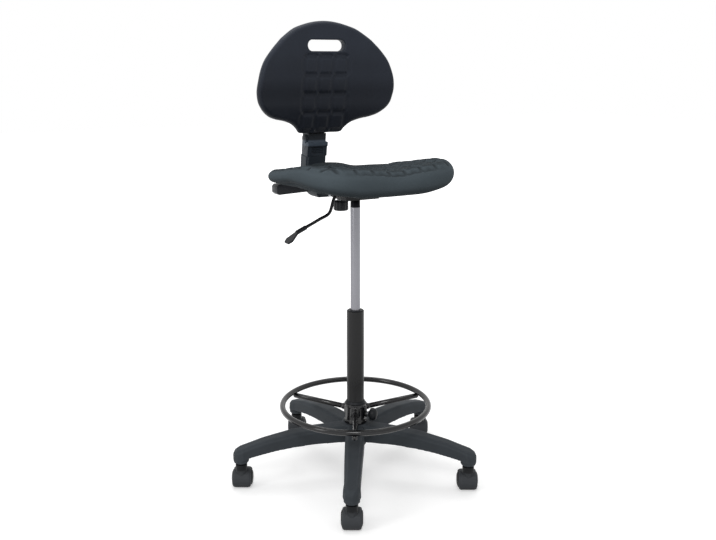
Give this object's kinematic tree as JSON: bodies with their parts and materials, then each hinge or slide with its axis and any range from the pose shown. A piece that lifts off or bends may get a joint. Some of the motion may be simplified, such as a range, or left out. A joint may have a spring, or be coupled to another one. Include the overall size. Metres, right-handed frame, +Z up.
{
  "type": "perch stool",
  "caption": "High swivel stool with a moulded seat and backrest, a gas lift, an adjustable foot ring and a star base on twin-wheel casters",
  "frame": {"origin": "on the floor, under the middle of the bounding box", "axes": "+Z up; the sitter faces -Y, so the backrest stands on the +Y side and +X is at the left hand of the sitter"},
  "size_m": [0.7228, 0.7096, 1.313],
  "materials": {
    "nylon": "satin charcoal moulded nylon",
    "tread_nylon": "matt black nylon tread",
    "steel": "zinc-plated steel",
    "chrome": "chromed cylinder with a blackened taper",
    "black_steel": "black powder coat, satin",
    "black_paint": "black gloss paint",
    "black_plastic": "black moulded plastic",
    "cover_plastic": "dark grey moulded plastic",
    "seat_skin": "satin slate-grey polyurethane skin",
    "back_skin": "matt near-black polyurethane skin"
  },
  "bodies": {
    "base": {"star_base": "nylon", "column_tube": "black_steel", "guide_bush": "black_plastic", "thrust_bearing": "steel"},
    "spindle": {"piston_rod": "steel", "retaining_clip": "steel"},
    "seat_unit": {"gas_cylinder": "chrome", "mech_housing": "black_steel", "seat_bolt_1": "steel", "seat_bolt_2": "steel", "seat_bolt_3": "steel", "seat_bolt_4": "steel", "recline_pin": "steel", "tension_screw": "steel", "tension_spring": "steel", "seat_pan": "black_plastic", "seat_cushion": "seat_skin"},
    "valve_pin": {"release_pin": "steel"},
    "height_lever": {"lever_rod": "black_steel", "lever_grip": "black_plastic"},
    "tension_adjuster": {"tension_knob": "black_plastic"},
    "back_unit": {"back_bar": "black_steel", "back_bar_cover": "cover_plastic"},
    "backrest_unit": {"backrest_bracket": "cover_plastic", "ratchet_pawl": "steel", "backrest_insert": "steel", "backrest_shell": "back_skin"},
    "ring_collar": {"ring_sleeve": "black_plastic"},
    "ring_unit": {"foot_ring": "black_paint"},
    "ring_clamp": {"clamp_screw": "steel", "clamp_knob": "black_plastic"},
    "caster_1": {"caster_hood_1": "nylon", "caster_stem_1": "steel", "caster_axle_1": "steel"},
    "wheel_left_1": {"caster_wheel_left_1": "tread_nylon"},
    "wheel_right_1": {"caster_wheel_right_1": "tread_nylon"},
    "caster_2": {"caster_hood_2": "nylon", "caster_stem_2": "steel", "caster_axle_2": "steel"},
    "wheel_left_2": {"caster_wheel_left_2": "tread_nylon"},
    "wheel_right_2": {"caster_wheel_right_2": "tread_nylon"},
    "caster_3": {"caster_hood_3": "nylon", "caster_stem_3": "steel", "caster_axle_3": "steel"},
    "wheel_left_3": {"caster_wheel_left_3": "tread_nylon"},
    "wheel_right_3": {"caster_wheel_right_3": "tread_nylon"},
    "caster_4": {"caster_hood_4": "nylon", "caster_stem_4": "steel", "caster_axle_4": "steel"},
    "wheel_left_4": {"caster_wheel_left_4": "tread_nylon"},
    "wheel_right_4": {"caster_wheel_right_4": "tread_nylon"},
    "caster_5": {"caster_hood_5": "nylon", "caster_stem_5": "steel", "caster_axle_5": "steel"},
    "wheel_left_5": {"caster_wheel_left_5": "tread_nylon"},
    "wheel_right_5": {"caster_wheel_right_5": "tread_nylon"}
  },
  "joints": [
    {"name": "seat_swivel", "type": "hinge", "parent": "base", "child": "spindle", "pos_m": [0.00239, -0.03559, 0.1], "axis": [0, 0, 1], "continuous": true},
    {"name": "seat_lift", "type": "slide", "parent": "spindle", "child": "seat_unit", "axis": [0, 0, 1], "range_m": [-0.265, 0]},
    {"name": "height_lever_lift", "type": "hinge", "parent": "seat_unit", "child": "height_lever", "pos_m": [-0.03561, -0.03559, 0.859], "axis": [0, 1, 0], "range_deg": [0, 6], "stiffness_Nm_per_rad": 2, "springref_deg": -5.73},
    {"name": "valve_pin_press", "type": "slide", "parent": "seat_unit", "child": "valve_pin", "axis": [0, 0, 1], "range_m": [-0.0046, 0]},
    {"name": "tension_turn", "type": "hinge", "parent": "seat_unit", "child": "tension_adjuster", "pos_m": [0.00239, 0.04841, 0.797], "axis": [0, 0, 1], "range_deg": [0, 720]},
    {"name": "back_recline", "type": "hinge", "parent": "seat_unit", "child": "back_unit", "pos_m": [0.00239, 0.01441, 0.839], "axis": [-1, 0, 0], "range_deg": [0, 12], "stiffness_Nm_per_rad": 90, "springref_deg": -20.05, "deforming": ["tension_spring"]},
    {"name": "backrest_height", "type": "slide", "parent": "back_unit", "child": "backrest_unit", "axis": [0, -0.1219, 0.9925], "range_m": [0, 0.06]},
    {"name": "foot_ring_height", "type": "slide", "parent": "base", "child": "ring_collar", "axis": [0, 0, 1], "range_m": [0, 0.2]},
    {"name": "foot_ring_turn", "type": "hinge", "parent": "ring_collar", "child": "ring_unit", "pos_m": [0.00239, -0.03559, 0.194], "axis": [0, 0, 1], "continuous": true},
    {"name": "clamp_turn", "type": "hinge", "parent": "ring_unit", "child": "ring_clamp", "pos_m": [0.03391, -0.06022, 0.189], "axis": [0.788, -0.6157, 0], "range_deg": [0, 360]},
    {"name": "caster_swivel_1", "type": "hinge", "parent": "base", "child": "caster_1", "pos_m": [-0.17376, -0.32875, 0.075], "axis": [0, 0, 1], "continuous": true},
    {"name": "wheel_left_spin_1", "type": "hinge", "parent": "caster_1", "child": "wheel_left_1", "pos_m": [-0.16476, -0.31316, 0.025], "axis": [-0.866, 0.5, 0], "continuous": true},
    {"name": "wheel_right_spin_1", "type": "hinge", "parent": "caster_1", "child": "wheel_right_1", "pos_m": [-0.16476, -0.31316, 0.025], "axis": [-0.866, 0.5, 0], "continuous": true},
    {"name": "caster_swivel_2", "type": "hinge", "parent": "base", "child": "caster_2", "pos_m": [0.22676, -0.2937, 0.075], "axis": [0, 0, 1], "continuous": true},
    {"name": "wheel_left_spin_2", "type": "hinge", "parent": "caster_2", "child": "wheel_left_2", "pos_m": [0.23576, -0.27812, 0.025], "axis": [-0.866, 0.5, 0], "continuous": true},
    {"name": "wheel_right_spin_2", "type": "hinge", "parent": "caster_2", "child": "wheel_right_2", "pos_m": [0.23576, -0.27812, 0.025], "axis": [-0.866, 0.5, 0], "continuous": true},
    {"name": "caster_swivel_3", "type": "hinge", "parent": "base", "child": "caster_3", "pos_m": [0.3172, 0.09804, 0.075], "axis": [0, 0, 1], "continuous": true},
    {"name": "wheel_left_spin_3", "type": "hinge", "parent": "caster_3", "child": "wheel_left_3", "pos_m": [0.3262, 0.11363, 0.025], "axis": [-0.866, 0.5, 0], "continuous": true},
    {"name": "wheel_right_spin_3", "type": "hinge", "parent": "caster_3", "child": "wheel_right_3", "pos_m": [0.3262, 0.11363, 0.025], "axis": [-0.866, 0.5, 0], "continuous": true},
    {"name": "caster_swivel_4", "type": "hinge", "parent": "base", "child": "caster_4", "pos_m": [-0.02742, 0.30511, 0.075], "axis": [0, 0, 1], "continuous": true},
    {"name": "wheel_left_spin_4", "type": "hinge", "parent": "caster_4", "child": "wheel_left_4", "pos_m": [-0.01842, 0.32069, 0.025], "axis": [-0.866, 0.5, 0], "continuous": true},
    {"name": "wheel_right_spin_4", "type": "hinge", "parent": "caster_4", "child": "wheel_right_4", "pos_m": [-0.01842, 0.32069, 0.025], "axis": [-0.866, 0.5, 0], "continuous": true},
    {"name": "caster_swivel_5", "type": "hinge", "parent": "base", "child": "caster_5", "pos_m": [-0.33085, 0.04134, 0.075], "axis": [0, 0, 1], "continuous": true},
    {"name": "wheel_left_spin_5", "type": "hinge", "parent": "caster_5", "child": "wheel_left_5", "pos_m": [-0.32185, 0.05693, 0.025], "axis": [-0.866, 0.5, 0], "continuous": true},
    {"name": "wheel_right_spin_5", "type": "hinge", "parent": "caster_5", "child": "wheel_right_5", "pos_m": [-0.32185, 0.05693, 0.025], "axis": [-0.866, 0.5, 0], "continuous": true}
  ],
  "couplings": [
    {"joint": "valve_pin_press", "follows": "height_lever_lift", "m_per_rad": -0.0425}
  ]
}
